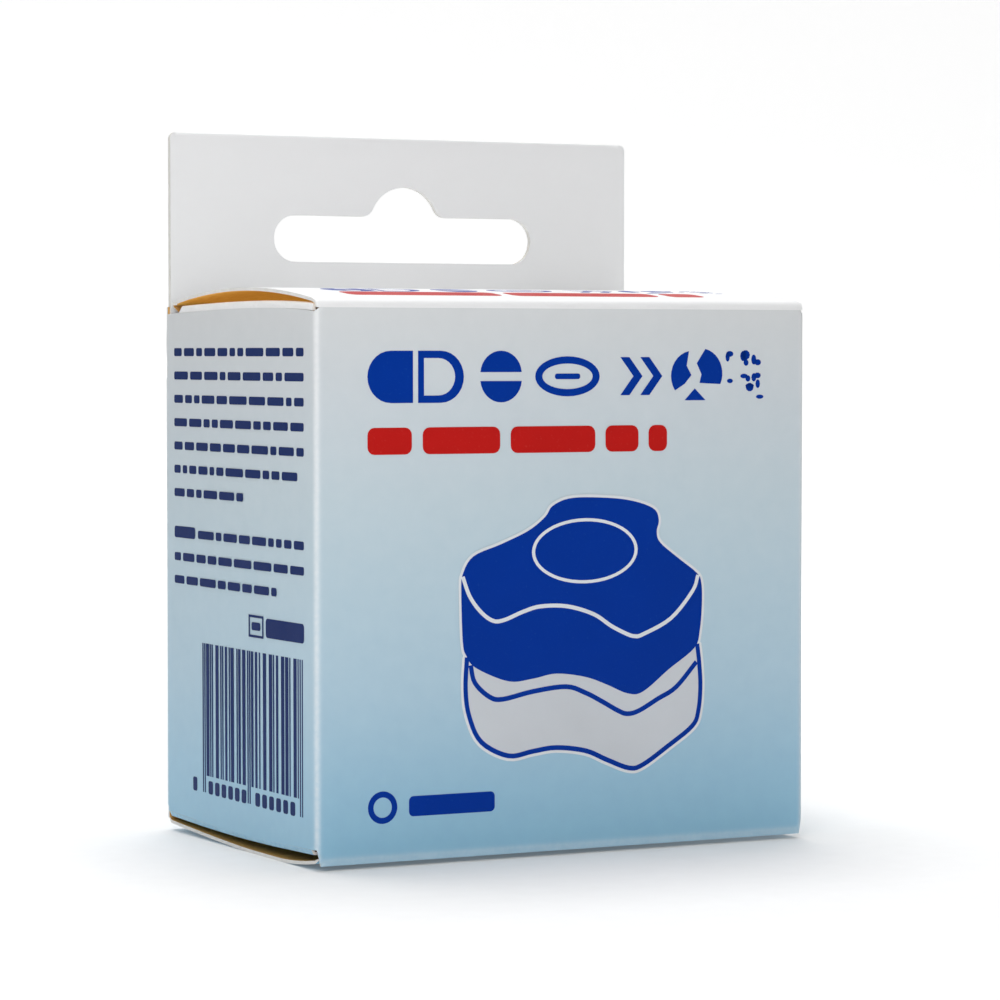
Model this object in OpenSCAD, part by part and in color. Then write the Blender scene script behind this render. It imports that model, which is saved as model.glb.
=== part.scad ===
// Boxed pill crusher: a folding carton with a hang header, and inside it a screw-type crusher.
// X runs across the front, Y from front to rear, Z up; the origin is under the middle of the carton.

/* [Carton] */
// Outside width of the carton
carton_w = 70; // [64:1:90]
// Outside depth of the carton
carton_d = 47; // [47:1:60]
// Height of the front panel from its bottom crease to the lid's crease
carton_h = 68; // [66:1:90]
// Thickness of the paperboard
board = 0.45; // [0.3:0.05:0.5]
// Rise of the lid's vault at its middle
lid_rise = 1.75; // [0.5:0.05:4]
// Sag of the bottom panel below its creases
bottom_sag = 1.05; // [0.5:0.05:1.4]
// Length of the bottom panel, front to rear, that lies flat on the table
bottom_flat = 22; // [10:1:30]
// How far the side panels stop short of the front panel's bottom crease
side_relief = 0.9; // [0.5:0.1:1.5]
// How far the side panels stop short of the front panel's top crease
side_drop = 0.6; // [0.55:0.05:1]
// Distance from a crease's fold line to where the folding sheet starts
crease_gap = 0.4; // [0.2:0.05:0.6]

/* [Header] */
// Height of the hang header above the lid's crease
header_h = 23; // [20:1:35]
// How far the header's sides stand in from the carton's sides
header_inset = 0.7; // [0:0.1:2]
// Radius of the header's top corners
header_corner_r = 1.2; // [0.5:0.1:4]
// How far the front ply runs down inside the carton
header_foot = 14; // [8:1:14]
// Width of the hang slot
slot_w = 38.6; // [30:0.2:50]
// Height of the hang slot, whose ends are half round
slot_h = 6.2; // [5:0.1:8]
// Bottom edge of the hang slot above the lid's crease
slot_z = 6; // [4:0.1:8]
// Radius of the arch over the middle of the slot
arch_r = 5.4; // [4:0.1:6]
// Rise of the arch above the slot's top edge
arch_rise = 4.3; // [3:0.1:5]

/* [Flaps] */
// Length of the lid's tuck flap
lid_tuck_l = 11; // [8:0.5:11]
// Inward lean of the lid's tuck flap
lid_tuck_lean = 10; // [8:1:14]
// Gap between the lid's rear crease and the header's front ply
lid_end_gap = 0.7; // [0.7:0.1:1.5]
// Length of each dust flap, from its crease inwards
dust_l = 18; // [12:1:18]
// Distance of the dust flaps' rear edges from the header's front ply
dust_rear_gap = 4.1; // [4:0.1:8]
// Distance of the flaps' other edges from the panels beside them
flap_side_gap = 0.65; // [0.5:0.05:1.5]
// Height of the bottom tuck flap behind the front panel
bottom_tuck_l = 12.5; // [8:0.5:14]
// Width of the glued seam flap inside the rear left corner
glue_flap_w = 13; // [8:1:15]

/* [Crusher] */
// Diameter over the crusher's lobes
crusher_dia = 56; // [46:0.5:60]
// Rounding radius of the lobes' corners
corner_r = 4; // [3:0.5:5]
// Angle of the centres of a lobe's corners from the lobe's middle
corner_a = 20; // [16:1:22]
// Wall thickness of the moulded shells
shell_wall = 1.8; // [1.2:0.1:2]
// Height of the base
base_h = 15.1; // [14.5:0.1:16]
// Height of the cap's straight side
cap_side_h = 16.1; // [15:0.1:18]
// Rise of the cap's domed top
dome_rise = 5.4; // [4.5:0.1:5.4]
// Seam between the closed cap and the base
seam_gap = 0.4; // [0.3:0.1:1]
// Diameter of the round inlay in the cap's top
disc_dia = 24.2; // [18:0.1:28]
// Gap between the crusher and the header's front ply
crusher_rear_gap = 0.3; // [0.2:0.1:1]
// Gap between the crusher's lowest lobe and the bottom dust flaps
crusher_floor_gap = 0.3; // [0.2:0.1:1]

/* [Crushing parts] */
// Bore of the crush chamber
chamber_dia = 22; // [18:0.5:23]
// Wall of the chamber's neck below its thread
neck_wall = 1.8; // [1.5:0.1:2.2]
// Length of the neck above the base
neck_above = 10.9; // [8:0.1:12]
// Floor and top plate thickness of the base, its cup and its closing plate
plate_t = 1.6; // [1.2:0.1:2]
// Height of the crushing ribs
rib_h = 0.8; // [0.5:0.1:1.2]
// Width of the crushing ribs
rib_w = 1; // [0.8:0.1:1.5]
// Ribs on each crushing face
rib_count = 8; // [6:1:12]
// Gap left between the two sets of ribs when the cap is screwed down
crush_gap = 0.5; // [0.3:0.1:1]
// Radial clearance of the stamp in the chamber
stamp_clear = 0.5; // [0.3:0.1:1]
// Thickness of the stamp's plate
stamp_t = 3; // [2:0.1:4]
// Diameter of the stamp's stem
stem_dia = 12; // [11:0.5:14]
// Diameter of the pin on which the stamp turns
pin_dia = 5; // [4:0.5:5]
// Radial running clearance of the pin in the stem
pin_clear = 0.05; // [0.02:0.01:0.1]
// Radial clearance of pieces pressed or glued together
seat_clear = 0.05; // [0.02:0.01:0.1]
// End play of the stem between the cap and the retaining ring
end_play = 0.3; // [0.2:0.1:0.5]

/* [Thread] */
// Rise of the cap for one turn
thread_lead = 8; // [6:0.5:9]
// Height of the thread's ridges
ridge_h = 1; // [0.6:0.1:1.2]
// Width of a ridge at its root
ridge_root = 1.2; // [0.8:0.1:1.4]
// Width of a ridge at its crest
ridge_crest = 0.6; // [0.4:0.1:0.8]
// Radial clearance between the crests and the opposite roots
thread_clear = 0.3; // [0.2:0.05:0.4]
// Length of thread on the neck and in the sleeve
thread_l = 7; // [5:0.5:8]
// Wall of the threaded sleeve
sleeve_wall = 1.8; // [1.5:0.1:2.2]
// Gap between the threaded sleeve and the cap's side wall
sleeve_gap = 0.7; // [0.4:0.1:1]

/* [Hidden] */
$fn = 72;
over = 1; // how far a cutting shape runs past the face it cuts

// Carton
half_w = carton_w / 2;
half_d = carton_d / 2;
crease_z = bottom_sag;
top_z = crease_z + carton_h;
side_bottom_z = crease_z + side_relief;
side_top_z = top_z - side_drop;
fold_lift = 0.05; // a folding sheet lies this far above the edge it folds over
inner_rear = half_d - 2 * board;
header_half_w = half_w - header_inset;
lid_end_y = inner_rear - lid_end_gap;
lid_z = top_z + fold_lift;
lid_half_w = half_w - 0.3; // the lid is cut a little narrower than the carton
lid_tuck_half_w = lid_half_w - 1.2;
dust_z = side_top_z + fold_lift;
floor_z = side_bottom_z + board;
bottom_half_w = half_w - 0.2; // the bottom is cut a little narrower than the carton
bottom_flap_taper = 3; // how far the bottom dust flaps narrow towards their ends
bottom_flap_gap = 0.2; // from a bottom dust flap's root to the panels beside it
glue_flap_foot = 2; // how far the glue flap stops short of the side panel's bottom edge
glue_flap_head = 1; // from the glue flap's top to the header's front ply
dust_corner = 3; // cut corner of a dust flap at the rear

// Crusher, measured along its own axis from the base's foot
lobe_r = crusher_dia / 2;
lobes = [for (k = [0:2]) -90 + 120 * k];
corner_c = lobe_r - corner_r;
corner_reach = corner_c * cos(60 - corner_a);
neck_r = chamber_dia / 2 + neck_wall;
sleeve_r = neck_r + ridge_h + thread_clear;
sleeve_outer_r = sleeve_r + sleeve_wall;
valley_depth_r = sleeve_outer_r + sleeve_gap + shell_wall;
valley_inner = valley_depth_r - corner_r;
valley_c = (pow(corner_c, 2) - pow(valley_inner, 2)) / (2 * (corner_reach - valley_inner));
valley_r = valley_c - valley_depth_r;
cap_z = base_h + seam_gap;
cap_top = cap_z + cap_side_h + dome_rise;
dome_r = (pow(lobe_r, 2) + pow(dome_rise, 2)) / (2 * dome_rise);
dome_c = cap_top - dome_r;
disc_r = disc_dia / 2;
disc_seat_z = cap_top - shell_wall;
cup_flange_r = sleeve_outer_r;
cup_flange_z = base_h - 2 * plate_t;
cup_floor_lift = 0.5; // from the cup's flange to its floor
cup_floor_z = cup_flange_z + cup_floor_lift;
cup_top = base_h + neck_above;
stamp_r = chamber_dia / 2 - stamp_clear;
stamp_z = cup_floor_z + 2 * rib_h + crush_gap;
stem_z = stamp_z + stamp_t;
rib_start = 2.5; // inner ends of the radial ribs
rib_end_gap = 1; // from a rib's outer end to the edge of its face
rib_root = 0.3; // how deep a rib is rooted in its face
post_r = neck_r - 4; // round post of the base that carries the cup's floor
post_wall = 2;
stem_r = stem_dia / 2;
cap_middle_t = 4.4; // thickness of the middle of the cap's top, which holds the pin and the inlay
seat_z = cap_top - cap_middle_t;
stem_top = seat_z - end_play;
ring_room = 6.5; // length of the stem's wide bore, which holds the retaining ring
pin_end_gap = 1.2; // from the stamp plate's spigot to the pin's end
pin_cover = 0.6; // cap material between the pin's end and the inlay
sleeve_lift = 0.7; // from the cap's lower edge to the sleeve's
thread_lead_in = 1; // plain end of the neck above its thread
pin_r = pin_dia / 2;
sleeve_z = cap_z + sleeve_lift;
spigot_l = 1.8; // short tube of the stamp's plate that sits in the stem
shoulder_z = stem_z + ring_room; // shoulder in the stem's bore, above the retaining ring
ring_t = 0.9;
ring_wall = 1.7;
ring_gap = 0.4; // from the retaining ring to the stem's bore
ring_z = shoulder_z - end_play - ring_t;
ring_r = pin_r + ring_wall;
ring_bore_r = ring_r + ring_gap;
groove_depth = 0.6;
pin_end_z = stem_z + spigot_l + pin_end_gap;
pin_top = disc_seat_z - pin_cover;
thread_z = cup_top - thread_l - thread_lead_in;
sleeve_thread_z = thread_z - 1; // the sleeve's thread starts this much lower than the neck's
thread_starts = 3;
crusher_y = inner_rear - crusher_rear_gap;
crusher_z = floor_z + crusher_floor_gap + lobe_r;

// ---- Carton ----

// A sheet whose section, drawn as Y and Z, runs along X
module along_x(width) rotate([90, 0, 90]) linear_extrude(width, center = true) children();

// A sheet whose outline, drawn as X and Z, stands upright from y towards the rear
module upright(y) translate([0, y + board, 0]) rotate([90, 0, 0]) linear_extrude(board) children();

// A board section that follows the heights h at the places ys
module board_section(ys, h) {
    n = len(ys) - 1;
    polygon(concat(
        [for (i = [0:n]) [ys[i], h[i]]],
        [for (i = [n:-1:0]) [ys[i], h[i] + board]]));
}

module front_panel() color("#c9d8e4")
    translate([-half_w, -half_d, crease_z]) cube([carton_w, board, carton_h]);

module side_panel(side) color("#bfd2e1")
    translate([side * (half_w - board / 2), 0, side_bottom_z])
        translate([-board / 2, board - half_d, 0])
            cube([board, carton_d - 2 * board, side_top_z - side_bottom_z]);

module left_panel() side_panel(-1);
module right_panel() side_panel(1);

// Outline of the header above height z, with the hang slot through it
module header_outline(z) difference() {
    union() {
        translate([-header_half_w, z])
            square([2 * header_half_w, top_z + header_h - header_corner_r - z]);
        translate([header_corner_r - header_half_w, top_z])
            square([2 * (header_half_w - header_corner_r), header_h]);
        for (side = [-1, 1])
            translate([side * (header_half_w - header_corner_r), top_z + header_h - header_corner_r])
                circle(header_corner_r);
    }
    translate([0, top_z + slot_z]) hang_slot();
}

// Hang slot with half-round ends and an arch over its middle
module hang_slot() {
    straight = slot_w - slot_h;
    translate([-straight / 2, 0]) square([straight, slot_h]);
    for (side = [-1, 1]) translate([side * straight / 2, slot_h / 2]) circle(slot_h / 2);
    intersection() {
        translate([0, slot_h + arch_rise - arch_r]) circle(arch_r);
        translate([-arch_r, slot_h / 2]) square([2 * arch_r, slot_h + arch_rise]);
    }
}

module rear_panel() color("#dfe3e6") upright(half_d - board) {
    translate([-half_w, crease_z]) square([carton_w, carton_h]);
    header_outline(top_z - over);
}

module header_front_ply() color("#e8e9ea") upright(inner_rear) header_outline(top_z - header_foot);

module glue_flap() color("#a8835a") upright(inner_rear)
    translate([board - half_w, side_bottom_z + glue_flap_foot])
        square([glue_flap_w, top_z - header_foot - glue_flap_head - side_bottom_z - glue_flap_foot]);

// Bottom panel: flat in the middle, rising to the creases at front and rear
module bottom_panel() color("#9fc0d8") along_x(2 * bottom_half_w) {
    reach = half_d - board;
    flat = bottom_flat / 2;
    ys = concat([for (i = [0:8]) -reach + i * (reach - flat) / 8], [for (i = [0:8]) flat + i * (reach - flat) / 8]);
    board_section(ys, [for (y = ys) bottom_sag * pow((abs(y) - flat) / (reach - flat), 2)]);
}

module bottom_tuck_flap() color("#a8835a")
    translate([board - half_w + flap_side_gap, board - half_d, crease_z + board])
        cube([carton_w - 2 * (board + flap_side_gap), board, bottom_tuck_l]);

module bottom_dust_flap(side) color("#a8835a") mirror([side > 0 ? 1 : 0, 0, 0])
    translate([board - half_w, 0, side_bottom_z]) linear_extrude(board)
        polygon([[0, 2 * board + bottom_flap_gap - half_d], [0, inner_rear - bottom_flap_gap],
            [dust_l, inner_rear - bottom_flap_taper], [dust_l, 2 * board + bottom_flap_taper - half_d]]);

module bottom_dust_flap_left() bottom_dust_flap(-1);
module bottom_dust_flap_right() bottom_dust_flap(1);

// Lid, vaulted between the front crease and the tuck flap's crease
module lid_panel() color("#e6ebee") along_x(2 * lid_half_w) {
    front = crease_gap - half_d;
    middle = (lid_end_y - half_d) / 2;
    span = lid_end_y + half_d;
    ys = [for (i = [0:16]) front + i * (lid_end_y - front) / 16];
    board_section(ys, [for (y = ys) lid_z + lid_rise * (1 - pow(2 * (y - middle) / span, 2))]);
}

module lid_tuck_flap() color("#d9dee2") along_x(2 * lid_tuck_half_w)
    translate([lid_end_y, lid_z]) rotate(-90 - lid_tuck_lean)
        translate([crease_gap, -board]) square([lid_tuck_l - crease_gap, board]);

// Dust flap, hinged on the outer top edge of a side panel; its front corner is cut at 45 degrees
module dust_flap(side) color("#a8835a") mirror([side > 0 ? 1 : 0, 0, 0])
    translate([-half_w, 0, dust_z]) linear_extrude(board)
        polygon([
            [crease_gap, board - half_d + flap_side_gap],
            [crease_gap, inner_rear - dust_rear_gap],
            [dust_l - dust_corner, inner_rear - dust_rear_gap],
            [dust_l, inner_rear - dust_rear_gap - dust_corner],
            [dust_l, dust_l + board + flap_side_gap - half_d]
        ]);

module dust_flap_left() dust_flap(-1);
module dust_flap_right() dust_flap(1);

// ---- Crusher ----

// Places a piece drawn along the crusher's own axis: base at the rear of the carton, cap to the front
module in_carton() translate([0, crusher_y, crusher_z]) rotate([90, 0, 0]) children();

// Points of an arc after its first one
function arc(centre, r, from, to, steps = 8) = [for (i = [1:steps])
    let (a = from + (to - from) * i / steps) centre + r * [cos(a), sin(a)]];

// Three-lobed outline; an inset moves every side inwards by the same distance
module lobed(inset = 0) {
    corner = corner_c * [cos(corner_a), sin(corner_a)];
    valley = valley_c * [cos(60), sin(60)];
    lean = atan2(valley[1] - corner[1], valley[0] - corner[0]);
    for_one = concat(
        arc([corner[0], -corner[1]], corner_r - inset, -lean, -corner_a),
        arc([0, 0], lobe_r - inset, -corner_a, corner_a),
        arc(corner, corner_r - inset, corner_a, lean),
        arc(valley, valley_r + inset, 180 + lean, 300 - lean));
    polygon([for (turn = lobes) each
        [for (p = for_one) [p[0] * cos(turn) - p[1] * sin(turn), p[0] * sin(turn) + p[1] * cos(turn)]]]);
}

// Straight prism of the lobed outline from height z to height top
module lobed_prism(z, top, inset = 0) translate([0, 0, z]) linear_extrude(top - z) lobed(inset);

// Ring from radius r_in to radius r_out between two heights
module ring(r_in, r_out, z, top) translate([0, 0, z]) difference() {
    cylinder(r = r_out, h = top - z);
    translate([0, 0, -over]) cylinder(r = r_in, h = top - z + 2 * over);
}

module disc(r, z, top) translate([0, 0, z]) cylinder(r = r, h = top - z);

// Radial ribs of a crushing face, from r_in to r_out and from height z to top
module ribs(r_in, r_out, z, top) for (k = [0:rib_count - 1]) rotate(360 * k / rib_count)
    translate([r_in, -rib_w / 2, z]) cube([r_out - r_in, rib_w, top - z]);

// Thread ridges on a wall of radius root: out is 1 outside a neck and -1 inside a sleeve
module thread(root, out, z, shift) {
    sink = 0.25;
    steps = 40;
    turn = 360 * (thread_l - ridge_root) / thread_lead;
    start_z = z + ridge_root / 2;
    function fade(i) = min(1, i / 4, (steps - i) / 4);
    function rise(i) = out * (fade(i) * (ridge_h + sink / 2) - sink / 2);
    function level(i) = start_z + (turn * i / steps) * thread_lead / 360;
    function at(i, r, dz) = let (a = turn * i / steps) [r * cos(a), r * sin(a), level(i) + dz];
    points = [for (i = [0:steps]) each [
        at(i, root - out * sink, -ridge_root / 2),
        at(i, root + rise(i), -ridge_crest / 2),
        at(i, root + rise(i), ridge_crest / 2),
        at(i, root - out * sink, ridge_root / 2)
    ]];
    side_faces = [for (i = [0:steps - 1], k = [0:3]) each
        let (a = 4 * i + k, b = 4 * i + (k + 1) % 4, c = a + 4, d = b + 4) [[a, b, c], [b, d, c]]];
    end_faces = [[0, 2, 1], [0, 3, 2],
        [4 * steps, 4 * steps + 1, 4 * steps + 2], [4 * steps, 4 * steps + 2, 4 * steps + 3]];
    faces = concat(side_faces, end_faces);
    for (k = [0:thread_starts - 1]) rotate(360 * k / thread_starts + shift)
        polyhedron(points, out > 0 ? faces : [for (f = faces) [f[0], f[2], f[1]]]);
}

module base_shell() color("#3f6fb0") in_carton() difference() {
    lobed_prism(0, base_h);
    lobed_prism(-over, base_h - plate_t, shell_wall);
    disc(neck_r + seat_clear, 0, base_h + over);
}

module base_floor() color("#34619f") in_carton() {
    lobed_prism(0, plate_t, shell_wall + seat_clear);
    ring(post_r - post_wall, post_r, plate_t, cup_floor_z - plate_t);
}

module crush_cup() color("#e9edf0") in_carton() {
    ring(chamber_dia / 2, neck_r, cup_floor_z - plate_t, cup_top);
    disc(chamber_dia / 2 + neck_wall / 2, cup_floor_z - plate_t, cup_floor_z);
    ring(chamber_dia / 2 + neck_wall / 2, cup_flange_r, cup_flange_z, cup_flange_z + plate_t);
    ribs(rib_start, chamber_dia / 2 - rib_end_gap, cup_floor_z - rib_root, cup_floor_z + rib_h);
    thread(neck_r, 1, thread_z, 0);
}

module stamp_plate() color("#d5dadf") in_carton() {
    disc(stamp_r, stamp_z, stem_z);
    disc(ring_bore_r - seat_clear, stem_z, stem_z + spigot_l);
    rotate(180 / rib_count) ribs(rib_start, stamp_r - rib_end_gap, stamp_z - rib_h, stamp_z + rib_root);
}

module stamp_stem() color("#c6ccd2") in_carton() difference() {
    disc(stem_r, stem_z, stem_top);
    disc(ring_bore_r, stem_z - over, shoulder_z);
    disc(pin_r + pin_clear, stem_z, stem_top + over);
}

// Solid under the cap's domed outside, smaller by inset
module dome(inset = 0) translate([0, 0, dome_c]) sphere(dome_r - inset, $fn = 180);

module cap_shell() color("#2d62ad") in_carton() difference() {
    intersection() {
        lobed_prism(cap_z, cap_top + over);
        dome();
    }
    difference() {
        intersection() {
            lobed_prism(cap_z - over, cap_top, shell_wall);
            dome(shell_wall);
        }
        disc(sleeve_outer_r, seat_z, cap_top);
    }
    disc(disc_r + seat_clear, disc_seat_z, cap_top + over);
    disc(pin_r + seat_clear, seat_z - over, pin_top);
}

module cap_disc() color("#f0f2f4") in_carton() intersection() {
    disc(disc_r, disc_seat_z, cap_top + over);
    dome();
}

module thread_sleeve() color("#dfe4e8") in_carton() {
    ring(sleeve_r, sleeve_outer_r, sleeve_z, seat_z);
    thread(sleeve_r, -1, sleeve_thread_z,
        -360 * (thread_lead / thread_starts / 2 + thread_z - sleeve_thread_z) / thread_lead);
}

module stamp_pin() color("#b9bfc5") in_carton() difference() {
    disc(pin_r, pin_end_z, pin_top);
    ring(pin_r - groove_depth, pin_r + over, ring_z - seat_clear, ring_z + ring_t + seat_clear);
}

module retaining_ring() color("#8e959c") in_carton() difference() {
    ring(pin_r - groove_depth + seat_clear, ring_r, ring_z, ring_z + ring_t);
    translate([-pin_r * 0.7, 0, ring_z - over]) cube([pin_r * 1.4, ring_r + over, ring_t + 2 * over]);
}

front_panel();
left_panel();
right_panel();
rear_panel();
header_front_ply();
glue_flap();
bottom_panel();
bottom_tuck_flap();
bottom_dust_flap_left();
bottom_dust_flap_right();
lid_panel();
lid_tuck_flap();
dust_flap_left();
dust_flap_right();
base_shell();
base_floor();
crush_cup();
stamp_plate();
stamp_stem();
cap_shell();
cap_disc();
thread_sleeve();
stamp_pin();
retaining_ring();
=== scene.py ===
import math

import bpy
import bmesh
import numpy as np
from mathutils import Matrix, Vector
from mathutils.geometry import delaunay_2d_cdt


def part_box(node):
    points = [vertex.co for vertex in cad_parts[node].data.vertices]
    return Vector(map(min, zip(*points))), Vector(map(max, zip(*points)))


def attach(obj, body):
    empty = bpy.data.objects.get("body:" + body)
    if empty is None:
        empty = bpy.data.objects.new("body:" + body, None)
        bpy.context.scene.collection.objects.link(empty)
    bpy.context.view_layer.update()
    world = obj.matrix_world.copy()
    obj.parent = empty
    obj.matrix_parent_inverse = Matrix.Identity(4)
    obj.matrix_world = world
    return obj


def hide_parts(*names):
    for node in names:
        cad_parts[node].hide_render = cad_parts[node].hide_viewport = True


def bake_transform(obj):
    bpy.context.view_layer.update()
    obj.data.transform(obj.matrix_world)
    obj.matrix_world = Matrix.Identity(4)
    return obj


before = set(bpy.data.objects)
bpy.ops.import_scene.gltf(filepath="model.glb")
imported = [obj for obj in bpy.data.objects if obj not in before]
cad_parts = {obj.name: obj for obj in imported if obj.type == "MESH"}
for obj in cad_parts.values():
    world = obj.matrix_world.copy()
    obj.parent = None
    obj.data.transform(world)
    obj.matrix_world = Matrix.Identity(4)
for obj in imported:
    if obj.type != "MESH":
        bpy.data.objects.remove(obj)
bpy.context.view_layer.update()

# ---- Sleeve ----
# The four upright panels and the glue flap are one piece of white-lined kraft board, 0.42 mm thick, creased
# at the corners and printed outside with a tint that deepens downwards. All sizes are in millimetres until a
# mesh is made; the outer faces stand a little inside the nominal box, because the panels bow outwards.

MM = 0.001
BOARD = 0.42
BOARD_SHARP = 40
BOW_ROOM = 0.1
CREASE_R = 0.7
GLUE_CREASE_R = 0.3


def corners_of(node):
    """Lowest and highest corner of a CAD piece in millimetres."""
    return [np.array(corner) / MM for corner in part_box(node)]


front_lo, front_hi = corners_of("front_panel")
side_lo = corners_of("left_panel")[0]
rear_hi = corners_of("rear_panel")[1]
half_w, half_d = front_hi[0], -front_lo[1]
crease_z, top_z = front_lo[2], front_hi[2]
wall_x, wall_y = half_w - BOW_ROOM, half_d - BOW_ROOM
BOW = {"front": 0.09, "side": 0.09}
front_top = top_z - 0.5
side_top = top_z - 0.95
SIDE_ARCH = 0.55


class Profile:
    """The outer face of a sheet seen edge-on: a line of points, found by flat distance along the sheet."""

    def __init__(self, points):
        self.p = np.array(points, float)
        self.u = np.concatenate([[0], np.cumsum(np.linalg.norm(np.diff(self.p, axis=0), axis=1))])
        along = np.gradient(self.p, self.u, axis=0)
        along /= np.linalg.norm(along, axis=1)[:, None]
        self.n = np.stack([along[:, 1], -along[:, 0]], 1)

    def at(self, u):
        """Points and outward normals, to the right of the line's direction."""
        pick = [np.interp(u, self.u, column) for column in (*self.p.T, *self.n.T)]
        return np.stack(pick[:2], -1), np.stack(pick[2:], -1)


def rounded(corners, radii, steps=8):
    """Points along straight stretches whose corners are rounded with arcs of one radius, or one for each."""
    corners = [np.array(c, float) for c in corners]
    points = [corners[0]]
    radii = np.broadcast_to(radii, len(corners) - 2)
    for before, here, after, radius in zip(corners, corners[1:], corners[2:], radii):
        a, b = before - here, after - here
        a, b = a / np.linalg.norm(a), b / np.linalg.norm(b)
        half = math.acos(np.clip(a @ b, -1, 1)) / 2
        middle = (a + b) / np.linalg.norm(a + b)
        centre = here + middle * radius / math.sin(half)
        first = here + a * radius / math.tan(half) - centre
        last = here + b * radius / math.tan(half) - centre
        turn = math.atan2(first[0] * last[1] - first[1] * last[0], first @ last)
        for k in range(steps + 1):
            c, s = math.cos(turn * k / steps), math.sin(turn * k / steps)
            points.append(centre + np.array([c * first[0] - s * first[1], s * first[0] + c * first[1]]))
    return points + [corners[-1]]


def ticks(low, high, step):
    """Evenly spaced values from low to high, about a step apart."""
    return np.linspace(low, high, max(2, round((high - low) / step) + 1))


def even_odd(points, loops):
    """Which points lie inside the loops, with loops inside loops as holes."""
    inside = np.zeros(len(points), bool)
    x, y = points.T
    for loop in loops:
        a = np.array(loop, float)
        b = np.roll(a, -1, axis=0)
        for (ax, ay), (bx, by) in zip(a, b):
            if ay != by:
                inside ^= ((ay > y) != (by > y)) & (x < (bx - ax) * (y - ay) / (by - ay) + ax)
    return inside


def clear_of(points, loops, gap):
    """Which points keep a gap from every edge of the loops."""
    clear = np.ones(len(points), bool)
    for loop in loops:
        a = np.array(loop, float)
        b = np.roll(a, -1, axis=0)
        for start, end in zip(a, b):
            d = end - start
            t = np.clip((points - start) @ d / max(d @ d, 1e-12), 0, 1)
            clear &= np.linalg.norm(points - start - t[:, None] * d, axis=1) > gap
    return clear


def stepped(loop, step):
    """A loop whose edges are cut into stretches no longer than a step."""
    points = []
    for a, b in zip(loop, loop[1:] + loop[:1]):
        parts = math.ceil(math.dist(a, b) / step)
        points += [(a[0] + (b[0] - a[0]) * k / parts, a[1] + (b[1] - a[1]) * k / parts) for k in range(parts)]
    return points


def flat_cut(loops, us, vs, step=1.3):
    """Points and triangles of the flat area inside loops; its inner points lie where us and vs cross."""
    loops = [stepped(loop, step) for loop in loops]
    lattice = np.stack(np.meshgrid(us, vs), -1).reshape(-1, 2)
    gap = 0.3 * min(np.diff(np.sort(us)).mean(), np.diff(np.sort(vs)).mean())
    lattice = lattice[even_odd(lattice, loops)]
    lattice = lattice[clear_of(lattice, loops, gap)]
    points, edges = [], []
    for loop in loops:
        first = len(points)
        points += [tuple(p) for p in loop]
        edges += [(first + k, first + (k + 1) % len(loop)) for k in range(len(loop))]
    points += [tuple(p) for p in lattice]
    cut = delaunay_2d_cdt([Vector(p) for p in points], edges, [], 0, 1e-6)
    flat = np.array([tuple(v) for v in cut[0]], float)
    faces = np.array([f for f in cut[2] if len(f) == 3])
    return flat, faces[even_odd(flat[faces].mean(1), loops)]


def finished(mesh, tones, sharp):
    """The piece of a closed mesh, with its faces outwards and its folds over sharp degrees left crisp."""
    tidy = bmesh.new()
    tidy.from_mesh(mesh)
    bmesh.ops.delete(tidy, geom=[v for v in tidy.verts if not v.link_faces], context="VERTS")
    bmesh.ops.recalc_face_normals(tidy, faces=tidy.faces)
    tidy.to_mesh(mesh)
    tidy.free()
    for tone in tones:
        mesh.materials.append(tone)
    mesh.shade_smooth()
    mesh.set_sharp_from_angle(angle=math.radians(sharp))
    piece = bpy.data.objects.new(mesh.name, mesh)
    bpy.context.scene.collection.objects.link(piece)
    return piece


def solid_mesh(name, layers, tones, attributes):
    """A piece from closed layers, each with its outer points, inner points and triangles. tones are the
    materials of the outer face, the inner face and the cut edge."""
    points, polygons, slots = [], [], []
    for outer, inner, faces in layers:
        first, count = sum(map(len, points)), len(outer)
        sides = {(a, b) for face in faces for a, b in zip(face, np.roll(face, -1))}
        rim = [(a, b) for a, b in sorted(sides) if (b, a) not in sides]
        points += [outer, inner]
        polygons += [[int(i) + first for i in f] for f in faces]
        polygons += [[int(i) + first + count for i in f[::-1]] for f in faces]
        polygons += [[int(i) + first for i in (b, a, a + count, b + count)] for a, b in rim]
        slots += [0] * len(faces) + [1] * len(faces) + [2] * len(rim)
    mesh = bpy.data.meshes.new(name)
    mesh.from_pydata(np.concatenate(points) * MM, [], polygons)
    mesh.polygons.foreach_set("material_index", slots)
    for label, values in attributes.items():
        kind = "FLOAT_VECTOR" if values.ndim == 2 else "FLOAT"
        field = "vector" if values.ndim == 2 else "value"
        mesh.attributes.new(label, kind, "POINT").data.foreach_set(field, values.astype(np.float32).ravel())
    return finished(mesh, tones, BOARD_SHARP)


def folded_sheet(name, loops, place, us, vs, tones, wear=None):
    """A sheet of board cut flat along loops, outlines and holes, and folded by place, which gives points of
    the outer face and outward normals. us and vs are the lines of the inner points. The attributes flat and
    wear hold the flat place and how far the print is lightened: by rubbing, and along the
    sleeve's creases by painted highlight."""
    flat, faces = flat_cut(loops, us, vs)
    outer, normal = place(flat[:, 0], flat[:, 1])
    # how far the print is lightened: rubbed ink, and painted highlight along the sleeve's creases
    marked = np.zeros(len(flat)) if wear is None else wear(flat[:, 0], flat[:, 1])
    flat3 = np.column_stack([flat * MM, np.zeros(len(flat))])
    return solid_mesh(name, [(outer, outer - normal * BOARD, faces)], tones,
                      {"flat": np.tile(flat3, (2, 1)), "wear": np.tile(marked, 2)})


def bow(across, z, height):
    """How far a panel bulges, from 0 at its creases to height at its middle; across runs from -1 to 1."""
    up = np.clip((z - crease_z) / (front_top - crease_z), 0, 1)
    return height * np.cos(np.clip(across, -1, 1) * math.pi / 2) * np.sin(up * math.pi)


FLAP_RIDGE_Z = 2.6
FLAP_RIDGE = 0.07


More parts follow.
